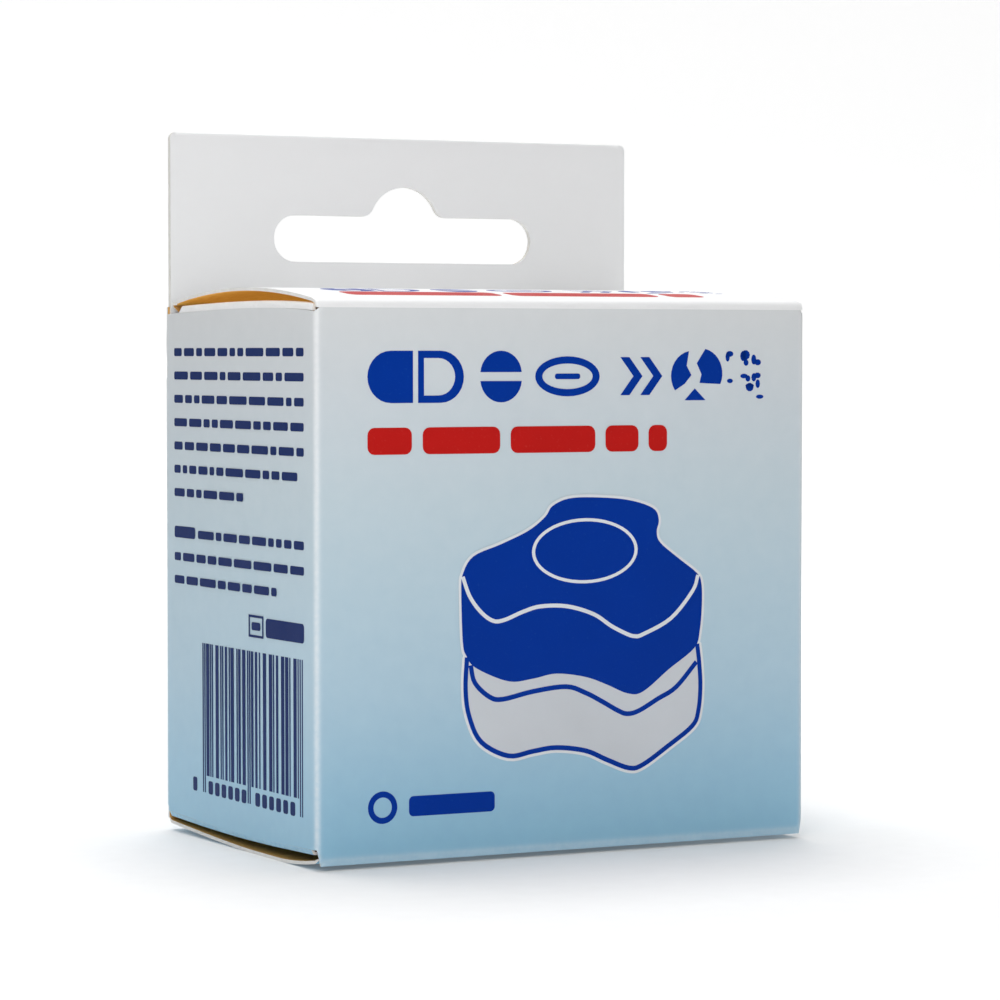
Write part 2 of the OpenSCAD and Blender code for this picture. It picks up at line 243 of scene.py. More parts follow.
def front_face(x, z):
    """Outer face of the front panel, with the soft ridge that the tuck flap behind its lower edge presses."""
    step = 1 / (1 + np.exp((z - FLAP_RIDGE_Z - 0.25 * np.sin(x / 6)) / 0.18))
    y = -wall_y - bow(x / wall_x, z, BOW["front"]) + FLAP_RIDGE * step
    return np.stack([x, y, z], -1), np.tile([0.0, -1.0, 0.0], (len(x), 1))


glue_x = corners_of("glue_flap")[1][0]
wall_line = Profile(rounded([
    (-wall_x, wall_y), (wall_x, wall_y), (wall_x, -wall_y), (-wall_x, -wall_y),
    (-wall_x, wall_y - BOARD - 0.02), (glue_x, wall_y - BOARD - 0.02)],
    (CREASE_R, CREASE_R, CREASE_R, GLUE_CREASE_R)))


def sleeve_face(u, z):
    """Outer face of the sleeve at flat distance u from the rear panel's raw edge."""
    p, n = wall_line.at(u)
    p, n = p.copy(), -n
    x, y = p.T.copy()
    on_front, on_side = n[:, 1] < -0.999, np.abs(n[:, 0]) > 0.999
    on_rear = (n[:, 1] > 0.999) & (y > wall_y - 0.1)
    p[on_front, 1] = front_face(x[on_front], z[on_front])[0][:, 1]
    p[on_side, 0] += n[on_side, 0] * bow(y[on_side] / wall_y, z[on_side], BOW["side"])
    p[on_rear, 1] += bow(x[on_rear] / wall_x, z[on_rear], BOW["front"])
    return np.column_stack([p, z]), np.column_stack([n, np.zeros(len(z))])


def side_arch(y):
    """Rise of a side panel's top crease, which bows up most a little in front of its middle."""
    return SIDE_ARCH * np.sin(np.clip((np.asarray(y) + half_d) / (2 * half_d), 0, 1) ** 0.75 * math.pi)


def low_arch(y):
    """Drop of a side panel's bottom crease, which hangs lowest at its middle."""
    return LOW_ARCH * np.cos(np.clip(np.asarray(y) / half_d, -1, 1) * math.pi / 2)


# where the panels' creases lie along the flat sleeve
run = CREASE_R * (2 - math.pi / 2)  # a round crease is shorter than its sharp corner by this
glue_run = GLUE_CREASE_R * (2 - math.pi / 2)
rear_right = 2 * wall_x - run / 2
right_front = rear_right + 2 * wall_y - run
front_left = right_front + 2 * wall_x - run
left_rear = front_left + 2 * wall_y - BOARD - 0.02 - (run + glue_run) / 2
sleeve_end = wall_line.u[-1]
NOTCH = 0.5
left_us = ticks(front_left + NOTCH, left_rear - NOTCH, 1.5)
right_us = ticks(rear_right + NOTCH, right_front - NOTCH, 1.5)


def arch_over(us, toward):
    """Top edge of a side panel over flat distances us, which run to the rear if toward is 1."""
    ys = np.linspace(-toward, toward, len(us)) * half_d
    return list(zip(us, side_top + side_arch(ys)))


side_bottom = side_lo[2]
FRONT_BOTTOM = crease_z - 0.4
LOW_ARCH = 0.45
FLAP_STRIP = 0.7  # the bottom dust flaps' sheets reach this far up the side panels
REAR_INSET = 0.35  # the rear panel's raw edge stays behind the round corner over the glue flap
BOTTOM_STRIP = 0.55  # the bottom's sheet reaches this far up the rear panel


def low_edge(us):
    """Bottom edge of a side panel over flat distances us."""
    return list(zip(us, side_bottom + FLAP_STRIP - low_arch(np.linspace(-half_d, half_d, len(us)))))


outline = (
    [(REAR_INSET, crease_z + BOTTOM_STRIP), (rear_right - NOTCH, crease_z + BOTTOM_STRIP)]
    + low_edge(right_us) + [(right_front, side_bottom + FLAP_STRIP)]
    + [(u, FRONT_BOTTOM) for u in ticks(right_front + NOTCH, front_left - NOTCH, 4)]
    + [(front_left, side_bottom + FLAP_STRIP)] + low_edge(left_us)
    + [(left_rear + 1, side_bottom + 2), (sleeve_end, side_bottom + 6)]
    + [(sleeve_end, top_z - 20), (left_rear + 1, top_z - 16)]
    + arch_over(left_us, 1)[::-1] + [(front_left + NOTCH / 2, side_top)]
    + [(u, front_top) for u in ticks(right_front + NOTCH, front_left - NOTCH, 4)[::-1]]
    + [(right_front - NOTCH / 2, side_top)] + arch_over(right_us, -1)[::-1]
    + [(rear_right - NOTCH, top_z), (REAR_INSET, top_z)])
crease_us = np.array([rear_right, right_front, front_left, left_rear])
near_creases = [c + k * CREASE_R / 4 for c in crease_us for k in range(-4, 5)]
sleeve_us = np.unique(np.concatenate([near_creases] + [
    ticks(a + 1, b - 1, 1.6) for a, b in zip([0, *crease_us], [*crease_us, sleeve_end])]))
sleeve_vs = np.concatenate([
    ticks(crease_z + 0.3, crease_z + 3, 0.3), ticks(crease_z + 4.2, front_top - 1, 1.6)])


def sleeve_wear_and_highlight(u, z):
    """Lighter print along the upright creases, partly rubbed ink and partly painted highlight where the round
    creases catch the light; rubbed print along the cut bottom edges.
    """
    upright = np.exp(-(np.min(np.abs(u[:, None] - crease_us), axis=1) / 0.45) ** 2)
    return np.clip(upright + 0.7 * np.exp(-((z - crease_z) / 0.5) ** 2), 0, 1)


class Wire:
    """An output of a shader node. Python's arithmetic on it adds Math nodes."""

    def __init__(self, tree, socket=None):
        self.tree, self.socket = tree, socket

    def node(self, kind, settings=None, sockets=None, out=0):
        """A new node of a kind: its settings come first, then its sockets' values or links."""
        made = self.tree.nodes.new("ShaderNode" + kind)
        for name, value in (settings or {}).items():
            if name == "stops":
                ramp = made.color_ramp.elements
                while len(ramp) < len(value):
                    ramp.new(0.5)
                for element, (place, colour) in zip(ramp, value):
                    element.position = place
                    element.color = (*colour, 1)
            else:
                setattr(made, name, value)
        for name, value in (sockets or {}).items():
            if isinstance(value, Wire):
                self.tree.links.new(value.socket, made.inputs[name])
            else:
                made.inputs[name].default_value = value
        return Wire(self.tree, made.outputs[out])

    def math(self, operation, *values, clamp=False):
        return self.node("Math", {"operation": operation, "use_clamp": clamp}, dict(enumerate(values)))

    def __add__(self, other):
        return self.math("ADD", self, other)

    def __sub__(self, other):
        return self.math("SUBTRACT", self, other)

    def __mul__(self, other):
        return self.math("MULTIPLY", self, other)

    def __truediv__(self, other):
        return self.math("DIVIDE", self, other)

    __radd__, __rmul__ = __add__, __mul__

    def mix(self, first, second):
        """Colour that goes from first to second as this value goes from 0 to 1."""
        return self.node("Mix", {"data_type": "RGBA"}, {0: self, 6: first, 7: second}, out=2)


def new_material(name):
    """A material with only its shader, and a wire to build on."""
    material = bpy.data.materials.new(name)
    material.use_nodes = True
    wire = Wire(material.node_tree)
    shader = next(n for n in material.node_tree.nodes if n.type == "BSDF_PRINCIPLED")
    return material, wire, shader


def connect(shader, constants, links):
    """Sets a shader's constant sockets and links the ones that vary over the surface."""
    for name, value in constants.items():
        shader.inputs[name].default_value = value
    for name, wire in links.items():
        wire.tree.links.new(wire.socket, shader.inputs[name])


def rgba(red, green, blue):
    """A colour given as sRGB from 0 to 255, as linear values."""
    shares = np.array((red, green, blue)) / 255
    return (*np.where(shares <= 0.04045, shares / 12.92, ((shares + 0.055) / 1.055) ** 2.4), 1)


def paper_surface(wire, tooth, waves):
    """Bumped normal of board: tooth is the grain of its coating, waves the unevenness of the sheet."""
    place = wire.node("Attribute", {"attribute_name": "flat"}, out=1)
    grain = wire.node("TexNoise", {"normalize": True}, {"Vector": place, "Scale": 2600, "Detail": 3})
    swell = wire.node("TexNoise", {}, {"Vector": place, "Scale": 110, "Detail": 2})
    fine = wire.node("Bump", {}, {"Strength": tooth, "Distance": 0.00002, "Height": grain})
    swollen = {"Strength": waves, "Distance": 0.0006, "Height": swell, "Normal": fine}
    return wire.node("Bump", {}, swollen), place


PRINT_STOPS = [(2, (0.26, 0.51, 0.68)), (9, (0.31, 0.54, 0.70)), (21, (0.42, 0.60, 0.72)),
               (33, (0.48, 0.63, 0.72)), (45, (0.55, 0.66, 0.72)), (57, (0.62, 0.68, 0.72)),
               (69, (0.69, 0.71, 0.72))]
TINT_TOP = 70  # height at which the print's tint is at its palest
WHITE_COAT = (0.88, 0.885, 0.89, 1)


def board_material(name, stops=None, coat=WHITE_COAT):
    """Coated side of the board; with stops, the tint that it is printed with, by height."""
    material, wire, shader = new_material(name)
    normal, place = paper_surface(wire, 0.25, 0.18)
    mottle = wire.node("TexNoise", {}, {"Vector": place, "Scale": 420, "Detail": 4})
    colour = (mottle - 0.5) * 0.06 + 0.5
    if stops:
        height = wire.node("SeparateXYZ", {}, {"Vector": wire.node("TexCoord", out=3)}, out=2)
        scaled = [(z / TINT_TOP, c) for z, c in stops]
        tint = wire.node("ValToRGB", {"stops": scaled}, {"Fac": height / (TINT_TOP * MM)})
        # where this is high the tint gives way to the white coat: rubbed ink, and on the sleeve's creases
        # painted highlight
        rub_and_highlight = wire.node("Attribute", {"attribute_name": "wear"}, out=2)
        speck = wire.node("TexNoise", {}, {"Vector": place, "Scale": 1500, "Detail": 3})
        tint = wire.math("MULTIPLY", rub_and_highlight, speck * 0.5 + 0.25, clamp=True).mix(tint, coat)
    else:
        tint = coat
    overlay = {"data_type": "RGBA", "blend_type": "OVERLAY"}
    shaded = colour.node("Mix", overlay, {0: 1.0, 6: tint, 7: colour}, out=2)
    rough = wire.node("TexNoise", {}, {"Vector": place, "Scale": 900, "Detail": 2}) * 0.12 + 0.36
    connect(shader, {"Coat Weight": 0.2, "Coat Roughness": 0.3, "IOR": 1.5},
            {"Base Color": shaded, "Roughness": rough, "Normal": normal})
    return material


def kraft_material(name, base, speckle, rough, painted_glow=0.0):
    """Uncoated kraft fibre: brown with long darker and lighter fibres. painted_glow is painted light: the
    strength of an emission in the fibre's own colour that brightens a sheet lying in shade."""
    material, wire, shader = new_material(name)
    normal, place = paper_surface(wire, 0.6, 0.3)
    stretched = wire.node("Mapping", {}, {"Vector": place, "Scale": (1, 0.22, 1)})
    fibres = wire.node("TexNoise", {}, {"Vector": stretched, "Scale": 1700, "Detail": 5, "Roughness": 0.7})
    contrast = wire.node("MapRange", {}, {0: fibres, 1: 0.35, 2: 0.7})
    colour = contrast.mix(base, speckle)
    # the emission is painted light, not a lamp: it brightens the kraft where it lies in shade
    connect(shader, {"Roughness": rough, "IOR": 1.45, "Emission Strength": painted_glow},
            {"Base Color": colour, "Emission Color": colour, "Normal": normal})
    return material


printed_board = board_material("printed_board", PRINT_STOPS)
white_board = board_material("white_board")
kraft_board = kraft_material("kraft_board", (0.60, 0.31, 0.065, 1), (0.72, 0.42, 0.13, 1), 0.85)
cut_board = kraft_material("cut_board", (0.74, 0.73, 0.70, 1), (0.84, 0.83, 0.81, 1), 0.8)
PRINTED, PLAIN = (printed_board, kraft_board, cut_board), (white_board, kraft_board, cut_board)
# the sleeve's print lightens along its creases: rubbed ink and painted highlight
sleeve = folded_sheet("sleeve", [outline], sleeve_face, sleeve_us, sleeve_vs, PRINTED, sleeve_wear_and_highlight)
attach(sleeve, "carton")
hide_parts("front_panel", "left_panel", "right_panel", "rear_panel", "glue_flap")

# ---- Hang header ----
# The rear panel runs on above the lid, folds over at the top and is glued back down its own inside, so the
# header is two plies thick. Both plies are die-cut together with the corners and the hang slot.

HEADER_GAP = 0.01
FOLD_R = 0.42
HEADER_CORNER = 1.2
SLOT_Z, SLOT_HALF, SLOT_R = 6.15, 16.3, 3.1
ARCH_Z, ARCH_R, SHOULDER_R = 5.0, 5.2, 1.7
ply_lo, ply_hi = corners_of("header_front_ply")
header_half, header_top, foot_z = ply_hi[0], rear_hi[2], ply_lo[2]
ply_y = wall_y - 2 * BOARD - HEADER_GAP
header_line = Profile(rounded(
    [(wall_y, top_z), (wall_y, header_top), (ply_y, header_top), (ply_y, foot_z)], FOLD_R))
fold_s = header_line.u[-1] - (header_top - foot_z - FOLD_R) - FOLD_R * math.pi / 2


def arc_points(x, y, r, start, end, steps=8):
    """Points of an arc about (x, y), with angles in degrees."""
    angles = np.radians(np.linspace(start, end, steps + 1))
    return [(x + r * math.cos(a), y + r * math.sin(a)) for a in angles]


def folded_along(line, side):
    """Place function of a sheet whose folds all run from left to right, at flat distance s along its line.
    side is 1 where its outside lies to the right of the line, and -1 where it lies to the left."""
    def place(x, s):
        p, n = line.at(s)
        return np.column_stack([x, p]), np.column_stack([np.zeros(len(x)), side * n])
    return place


def rubbed_fold(at, spread, share):
    """Wear along a fold at flat distance at, which fades over a spread."""
    return lambda x, s: share * np.exp(-((s - at) / spread) ** 2)


def mirrored(side):
    """A loop from its right side, which runs from one end of the middle line to the other."""
    return side + [(-x, s) for x, s in side[::-1]]


shoulder_rise = SLOT_R * 2 - ARCH_Z + SHOULDER_R
shoulder_x = math.sqrt((ARCH_R + SHOULDER_R) ** 2 - shoulder_rise ** 2)
touch = math.degrees(math.atan2(shoulder_rise, shoulder_x))
half_slot = (arc_points(SLOT_HALF, SLOT_R, SLOT_R, -90, 90, 16)
             + arc_points(shoulder_x, SLOT_R * 2 + SHOULDER_R, SHOULDER_R, 270, 180 + touch, 5)
             + arc_points(0, ARCH_Z, ARCH_R, touch, 90, 12)[1:])
slot_line = half_slot + [(-x, z) for x, z in half_slot[-2::-1]]
rear_slot = [(x, z + SLOT_Z) for x, z in slot_line]
front_slot = [(x, header_line.u[-1] - (z + top_z + SLOT_Z - foot_z)) for x, z in slot_line]
waist = header_half - HEADER_CORNER
edge_side = ([(header_half, 0)] + arc_points(waist, fold_s - HEADER_CORNER, HEADER_CORNER, 0, 80, 6)
             + arc_points(waist, fold_s + HEADER_CORNER, HEADER_CORNER, -80, 0, 6)
             + [(header_half, header_line.u[-1])])
header_loops = [mirrored(edge_side), rear_slot, front_slot]
header_us = ticks(-header_half + 1, header_half - 1, 2.2)
header_vs = np.concatenate([ticks(1, fold_s - 1, 1.8), fold_s + FOLD_R * np.linspace(-0.9, 0.9, 9),
                            ticks(fold_s + 1, header_line.u[-1] - 1, 1.8)])
header = folded_sheet("header", header_loops, folded_along(header_line, 1), header_us, header_vs, PLAIN,
                      rubbed_fold(fold_s, 0.6, 0.6))
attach(header, "carton")
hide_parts("header_front_ply", "rear_panel")

# ---- Lid ----
# The lid grows out of the front panel over a soft round crease, and springs up into a shallow vault because
# its board would rather lie flat. White outside, kraft inside; its side edges are cut.

LID_CREASE_R = 1.0
LID_SIDE = 0.3
LID_LIFT = 0.05
CAD_BOARD = 0.45
TUCK_STRIP = 1.0  # the lid's sheet ends this far before its rear crease, where the tuck flap's takes over
lid_hi = corners_of("lid_panel")[1]
lid_end = lid_hi[1]
lid_rise = lid_hi[2] - top_z - LID_LIFT - CAD_BOARD
lid_middle = (lid_end - half_d) / 2
lid_span = lid_end + half_d


def vault(y):
    """Height of the lid's outer face."""
    return top_z + LID_LIFT + BOARD + lid_rise * (1 - (2 * (y - lid_middle) / lid_span) ** 2)


vault_slope = 8 * lid_rise * (lid_middle + wall_y - LID_CREASE_R) / lid_span ** 2
crease_turn = math.pi / 2 - math.atan(vault_slope)
arc_end_y = -wall_y + LID_CREASE_R * (1 - math.cos(crease_turn))
arc_centre_z = vault(arc_end_y) - LID_CREASE_R * math.sin(crease_turn)
lid_points = [(-wall_y, front_top), (-wall_y, arc_centre_z - 0.02)]
lid_points += [(-wall_y + LID_CREASE_R * (1 - math.cos(a)), arc_centre_z + LID_CREASE_R * math.sin(a))
               for a in np.linspace(0, crease_turn, 10)]
lid_points += [(y, vault(y)) for y in np.linspace(arc_end_y + 0.3, lid_end - TUCK_STRIP, 40)]
lid_line = Profile(lid_points)
lid_face = folded_along(lid_line, -1)
# the lid's underside is kraft that glows: painted light that brightens it in the shade under the vault
lid_kraft = kraft_material("lid_kraft", (0.62, 0.31, 0.04, 1), (0.72, 0.40, 0.08, 1), 0.85, 0.3)
LID_TONES = (white_board, lid_kraft, cut_board)
lid_length = lid_line.u[-1]
lid_half = half_w - LID_SIDE
crease_s = lid_line.u[11]
lid_right = [(wall_x - 0.3, 0), (wall_x - 0.2, crease_s * 0.6), (lid_half, crease_s + 0.6),
             (lid_half, lid_length - 1.5), (lid_half - 0.5, lid_length)]
lid = folded_sheet("lid", [mirrored(lid_right)], lid_face, ticks(-lid_half + 0.8, lid_half - 0.8, 1.6),
                   np.concatenate([lid_line.u[1:12], ticks(crease_s + 0.4, lid_length - 0.5, 1.3)]),
                   LID_TONES, rubbed_fold(crease_s / 2, 0.8, 0.8))
-wall_y * MM
(arc_centre_z - 0.3) * MM
(arc_end_y + 0.2) * MM
(vault(arc_end_y) + 0.1) * MM
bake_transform(lid)
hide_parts("lid_panel")

# ---- Lid's tuck flap ----
# The same sheet as the lid, folded down behind the lid and leaning inwards, so that it slides down in front
# of the header's inner ply.

TUCK_CREASE_R = 0.6
TUCK_LEAN = math.radians(10)
tuck_lo, tuck_hi = corners_of("lid_tuck_flap")
tuck_half = tuck_hi[0]
tuck_length = (tuck_hi[2] - tuck_lo[2]) / math.cos(TUCK_LEAN) + 0.3
tuck_corner = np.array([lid_end, vault(lid_end)])
tuck_tip = tuck_corner - tuck_length * np.array([math.sin(TUCK_LEAN), math.cos(TUCK_LEAN)])
strip_y = lid_end - TUCK_STRIP
tuck_line = Profile(rounded([(strip_y, vault(strip_y)), tuck_corner, tuck_tip], TUCK_CREASE_R))
tuck_end = tuck_line.u[-1]
tuck_side = ([(lid_half, 0), (lid_half - 0.3, TUCK_STRIP + 0.2), (tuck_half, TUCK_STRIP + 1.2)]
             + arc_points(tuck_half - 4, tuck_end - 4, 4, 0, 90, 8))
tuck_flap = folded_sheet("tuck_flap", [mirrored(tuck_side)], folded_along(tuck_line, -1),
                         ticks(-tuck_half + 0.8, tuck_half - 0.8, 2),
                         np.concatenate([tuck_line.u[1:10], ticks(2.4, tuck_end - 0.6, 1.6)]), PLAIN)
(lid_end - TUCK_STRIP * 0.9) * MM
vault(lid_end) * MM
(lid_end + 0.3) * MM
(vault(lid_end) - TUCK_CREASE_R) * MM
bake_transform(tuck_flap)
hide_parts("lid_tuck_flap")

# ---- Dust flaps ----
# Two short flaps grow out of the side panels' tops and lie under the lid. Each is pressed up a little over
# its crease, and its front corner is cut at 45 degrees. The same two flaps close the bottom inside.

FLAP_CREASE_R = 0.5
dust_z = top_z - 0.04
dust_lo, dust_hi = corners_of("dust_flap_left")
low_lo, low_hi = corners_of("bottom_dust_flap_left")


def side_flap(name, side, up, loop, root_z, crease_at, length, lift, tones):
    """A flap that grows from a side panel's edge at root_z and folds inwards at crease_at. side is -1 on the
    left, up 1 at the top and -1 at the bottom; lift raises its points by their Y and distance inwards."""
    corners = [(wall_x, root_z), (wall_x, crease_at), (wall_x - length, crease_at)]
    line = Profile(rounded(corners, FLAP_CREASE_R))

    def face(s, y):
        p, n = line.at(s)
        z = p[:, 1] + lift(y, wall_x - p[:, 0])
        return (np.column_stack([side * p[:, 0], y, z]),
                np.column_stack([side * up * n[:, 0], np.zeros(len(y)), up * n[:, 1]]))

    us = np.concatenate([line.u[1:10], ticks(2.2, line.u[-1] - 0.6, 1.7)])
    ys = [y for s, y in loop(line.u[-1])]
    return folded_sheet(name, [loop(line.u[-1])], face, us, ticks(min(ys) + 0.7, max(ys) - 0.7, 1.5), tones)


def dust_loop(end):
    """Flat outline of a dust flap: root, 45-degree front corner, free edge, small cut at the rear."""
    front, rear = 0.75 - wall_y, dust_hi[1]
    slope = end - 1.5
    return ([(0, y) for y in ticks(rear, front, 1.5)] + [(1.5, front), (end, front + slope)]
            + [(end, rear - 3), (end - 3, rear)])


def low_loop(end):
    """Flat outline of a bottom dust flap, with both free corners cut."""
    front, rear = low_lo[1] + 0.3, low_hi[1] - 0.3
    return [(0, rear), (0, front), (1.5, front), (end, front + 3), (end, rear - 3), (1.5, rear)]


def dust_lift(y, inwards):
    """How far a dust flap is pressed up, which halves towards its free edge."""
    return side_arch(y) * (1 - 0.5 * np.clip(inwards / 18, 0, 1))


def low_lift(y, inwards):
    """How far a bottom dust flap hangs down, which all but ends a little way in."""
    return -low_arch(y) * (1 - 0.9 * np.clip(inwards / 12, 0, 1))


for side, end in ((-1, "left"), (1, "right")):
    flap = side_flap("dust_flap_" + end + "_sheet", side, 1, dust_loop, side_top, dust_z,
                     dust_hi[0] - dust_lo[0], dust_lift, PLAIN)
    side * (wall_x - 0.02) * MM
    dust_z * MM
    side * (wall_x - 0.9) * MM
    dust_z * MM
    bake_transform(flap)
    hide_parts("dust_flap_" + end)
    low_flap = side_flap("bottom_dust_flap_" + end + "_sheet", side, -1, low_loop, side_bottom + FLAP_STRIP,
                         side_bottom + 0.02, low_hi[0] - low_lo[0], low_lift, PRINTED)
    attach(low_flap, "carton")
    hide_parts("bottom_dust_flap_" + end)

# ---- Bottom ----
# The bottom panel hangs on the rear panel, sags a little between its creases and stands on its flat middle.
# Its tuck flap goes up behind the front panel.

BOTTOM_CREASE_R = 0.5
FLAT_FROM, FLAT_TO = -11.0, -4.0
bottom_hi = corners_of("bottom_panel")[1]
low_tuck_hi = corners_of("bottom_tuck_flap")[1]
tuck_y = -wall_y + BOARD + 0.05


def sag(y):
    """Height of the bottom panel's underside."""
    front = 1.05 * (np.clip(FLAT_FROM - y, 0, None) / 12.3) ** 2
    return front + 1.0 * (np.clip(y - FLAT_TO, 0, None) / 27) ** 1.4


bottom_line = Profile(rounded(
    [(tuck_y, low_tuck_hi[2]), (tuck_y, sag(tuck_y)), (tuck_y + 1.2, sag(tuck_y + 1.2))], BOTTOM_CREASE_R)
    + [(y, sag(y)) for y in np.linspace(tuck_y + 1.5, wall_y - 1.5, 40)]
    + rounded([(wall_y - 1.2, sag(wall_y - 1.2)), (wall_y, sag(wall_y)), (wall_y, crease_z + BOTTOM_STRIP)],
              BOTTOM_CREASE_R))
bottom_half, low_tuck_half = bottom_hi[0] - 0.25, low_tuck_hi[0]
crease_at = low_tuck_hi[2] - sag(tuck_y)
bottom_side = (arc_points(low_tuck_half - 4, 4, 4, -90, 0, 8) + [(low_tuck_half, crease_at - 1.4)]
               + [(bottom_half - 0.6, crease_at - 0.6), (bottom_half, crease_at + 0.4)]
               + [(bottom_half, bottom_line.u[-1] - 1.8), (wall_x - NOTCH, bottom_line.u[-1] - 0.9)]
               + [(wall_x - NOTCH, bottom_line.u[-1])])
bottom_vs = bottom_line.u[(bottom_line.u > 0.5) & (bottom_line.u < bottom_line.u[-1] - 0.4)]
bottom_vs = np.concatenate([ticks(1, crease_at - 1.5, 1.6), bottom_vs[bottom_vs > 2]])
bottom = folded_sheet("bottom", [mirrored(bottom_side)], folded_along(bottom_line, 1),
                      ticks(-bottom_half + 0.8, bottom_half - 0.8, 2), bottom_vs, PRINTED)
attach(bottom, "carton")
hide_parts("bottom_panel", "bottom_tuck_flap")

# ---- Crusher's base ----
# Pale base, moulded in one with its three-lobed side and its top plate, and open below. All its edges are
# rounded; the crush cup stands in the round hole of its top.

base_lo, base_hi = corners_of("base_shell")
cap_hi = corners_of("cap_shell")[1]
AXIS_Y = base_hi[1]
axis_z = (corners_of("stamp_pin")[0][2] + corners_of("stamp_pin")[1][2]) / 2
LOBE_R, CORNER_R, CORNER_A, VALLEY_R = 28.0, 4.0, 20.0, 18.4
WALL, PLATE = 1.8, 1.6
MOULDED_SHARP = 35
EDGE_R = 1.0
NECK_HOLE = 12.85


def lobed(inset):
    """Three-lobed outline about the axis, every side moved inwards by inset."""
    corner_c = LOBE_R - CORNER_R
    inner = VALLEY_R - CORNER_R
    reach = corner_c * math.cos(math.radians(60 - CORNER_A))
    valley_c = (corner_c ** 2 - inner ** 2) / (2 * (reach - inner))
    corner = corner_c * np.array([math.cos(math.radians(CORNER_A)), math.sin(math.radians(CORNER_A))])
    valley = valley_c * np.array([0.5, math.sqrt(0.75)])
    meet = math.degrees(math.atan2(valley[1] - corner[1], valley[0] - corner[0]))
    lobe = (arc_points(corner[0], -corner[1], CORNER_R - inset, -meet, -CORNER_A, 10)[1:]
            + arc_points(0, 0, LOBE_R - inset, -CORNER_A, CORNER_A, 14)[1:]
            + arc_points(*corner, CORNER_R - inset, CORNER_A, meet, 10)[1:]
            + arc_points(*valley, valley_c - VALLEY_R + inset, 180 + meet, 300 - meet, 20)[1:])
    points = []
    for turn in (-90, 30, 150):
        c, s = math.cos(math.radians(turn)), math.sin(math.radians(turn))
        points += [(x * c - y * s, x * s + y * c) for x, y in lobe]
    return np.array(points)


def ring(inset, height, circle=None, share=0.0):
    """Outline points with their heights: the lobed outline, or a share of the way from it to a circle.
    height is a number or a function of the points' radii."""
    p = lobed(inset)
    if circle is not None:
        angles = np.arctan2(p[:, 1], p[:, 0])
        p = p * (1 - share) + share * circle * np.stack([np.cos(angles), np.sin(angles)], 1)
    radii = np.linalg.norm(p, axis=1)
    heights = height(radii) if callable(height) else np.full(len(p), float(height))
    return np.column_stack([p, heights])


def edge(inset, height, r, start, end, steps=5):
    """Rings of an edge rounded with radius r about (inset, height), angles in degrees; 0 points inwards."""
    for a in np.radians(np.linspace(start, end, steps + 1)):
        shift = r * math.sin(a)
        level = (lambda radii, s=shift: height(radii) + s) if callable(height) else height + shift
        yield ring(inset + r * math.cos(a), level)


def loft(name, rings, tone, closed=True):
    """A moulded piece through rings of as many points each; if it isn't closed, both ends get a flat lid."""
    rings = list(rings)
    count = len(rings[0])
    points = np.concatenate(rings)
    world = np.column_stack([points[:, 0], AXIS_Y - points[:, 2], axis_z + points[:, 1]]) * MM
    polygons = []
    for k in range(len(rings) if closed else len(rings) - 1):
        a, b = k * count, (k + 1) % len(rings) * count
        polygons += [(a + i, a + (i + 1) % count, b + (i + 1) % count, b + i) for i in range(count)]
    if not closed:
        polygons += [tuple(range(count))[::-1], tuple(range(len(points) - count, len(points)))]
    mesh = bpy.data.meshes.new(name)
    mesh.from_pydata(world, [], polygons)
    return finished(mesh, [tone], MOULDED_SHARP)


def moulded(name, base, shade, rough, coat=0.0):
    """Injection-moulded plastic: faint orange peel, slow colour drift and fine handling marks."""
    material, wire, shader = new_material(name)
    place = wire.node("TexCoord", out=3)
    peel = wire.node("TexNoise", {}, {"Vector": place, "Scale": 900, "Detail": 2})
    drift = wire.node("TexNoise", {}, {"Vector": place, "Scale": 60, "Detail": 3})
    streak = wire.node("Mapping", {}, {"Vector": place, "Scale": (1, 9, 1), "Rotation": (0.4, 0.7, 0.2)})
    marks = wire.node("TexNoise", {}, {"Vector": streak, "Scale": 420, "Detail": 6, "Roughness": 0.75})
    marked = wire.node("MapRange", {}, {0: marks, 1: 0.55, 2: 0.75, 3: 0.0, 4: 0.16})
    normal = wire.node("Bump", {}, {"Strength": 0.12, "Distance": 0.00004, "Height": peel})
    connect(shader, {"Coat Weight": coat, "Coat Roughness": 0.2, "IOR": 1.5},
            {"Base Color": drift.mix(base, shade), "Roughness": drift * 0.1 + marked + (rough - 0.05),
             "Normal": normal})
    return material


base_plastic = moulded("base_plastic", rgba(214, 218, 222), rgba(205, 210, 216), 0.34)
cup_plastic = moulded("cup_plastic", rgba(226, 229, 232), rgba(218, 222, 227), 0.3)
stamp_plastic = moulded("stamp_plastic", rgba(206, 211, 217), rgba(198, 204, 211), 0.36)
cap_plastic = moulded("cap_plastic", rgba(8, 62, 150), rgba(4, 52, 136), 0.28, 0.3)
disc_plastic = moulded("disc_plastic", rgba(228, 231, 234), rgba(220, 224, 229), 0.26, 0.2)

BASE_H = base_hi[1] - base_lo[1]
base_rings = [*edge(0.6, 0.6, 0.6, 270, 180, 4), ring(0, BASE_H / 2)]
base_rings += edge(EDGE_R, BASE_H - EDGE_R, EDGE_R, 180, 90)
base_rings += [ring(EDGE_R, BASE_H, NECK_HOLE + 0.3, t) for t in (0.3, 0.6, 0.85, 1)]
base_rings += [ring(EDGE_R, h, NECK_HOLE, 1) for h in (BASE_H - 0.3, BASE_H - PLATE)]
base_rings += [ring(WALL, BASE_H - PLATE, NECK_HOLE, t) for t in (0.6, 0.2, 0)]
base_rings += [ring(WALL, BASE_H / 2), ring(WALL, 0.4), ring(WALL - 0.4, 0)]
base_shell = loft("base", base_rings, base_plastic)
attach(base_shell, "crusher")
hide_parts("base_shell")

# ---- Crusher's cap ----
# Deep blue cap with the base's outline, which the hand turns. Its domed top is rounded over at the edge and
# holds a round pale inlay; inside, the threaded sleeve and the pin of the stamp are pressed in.

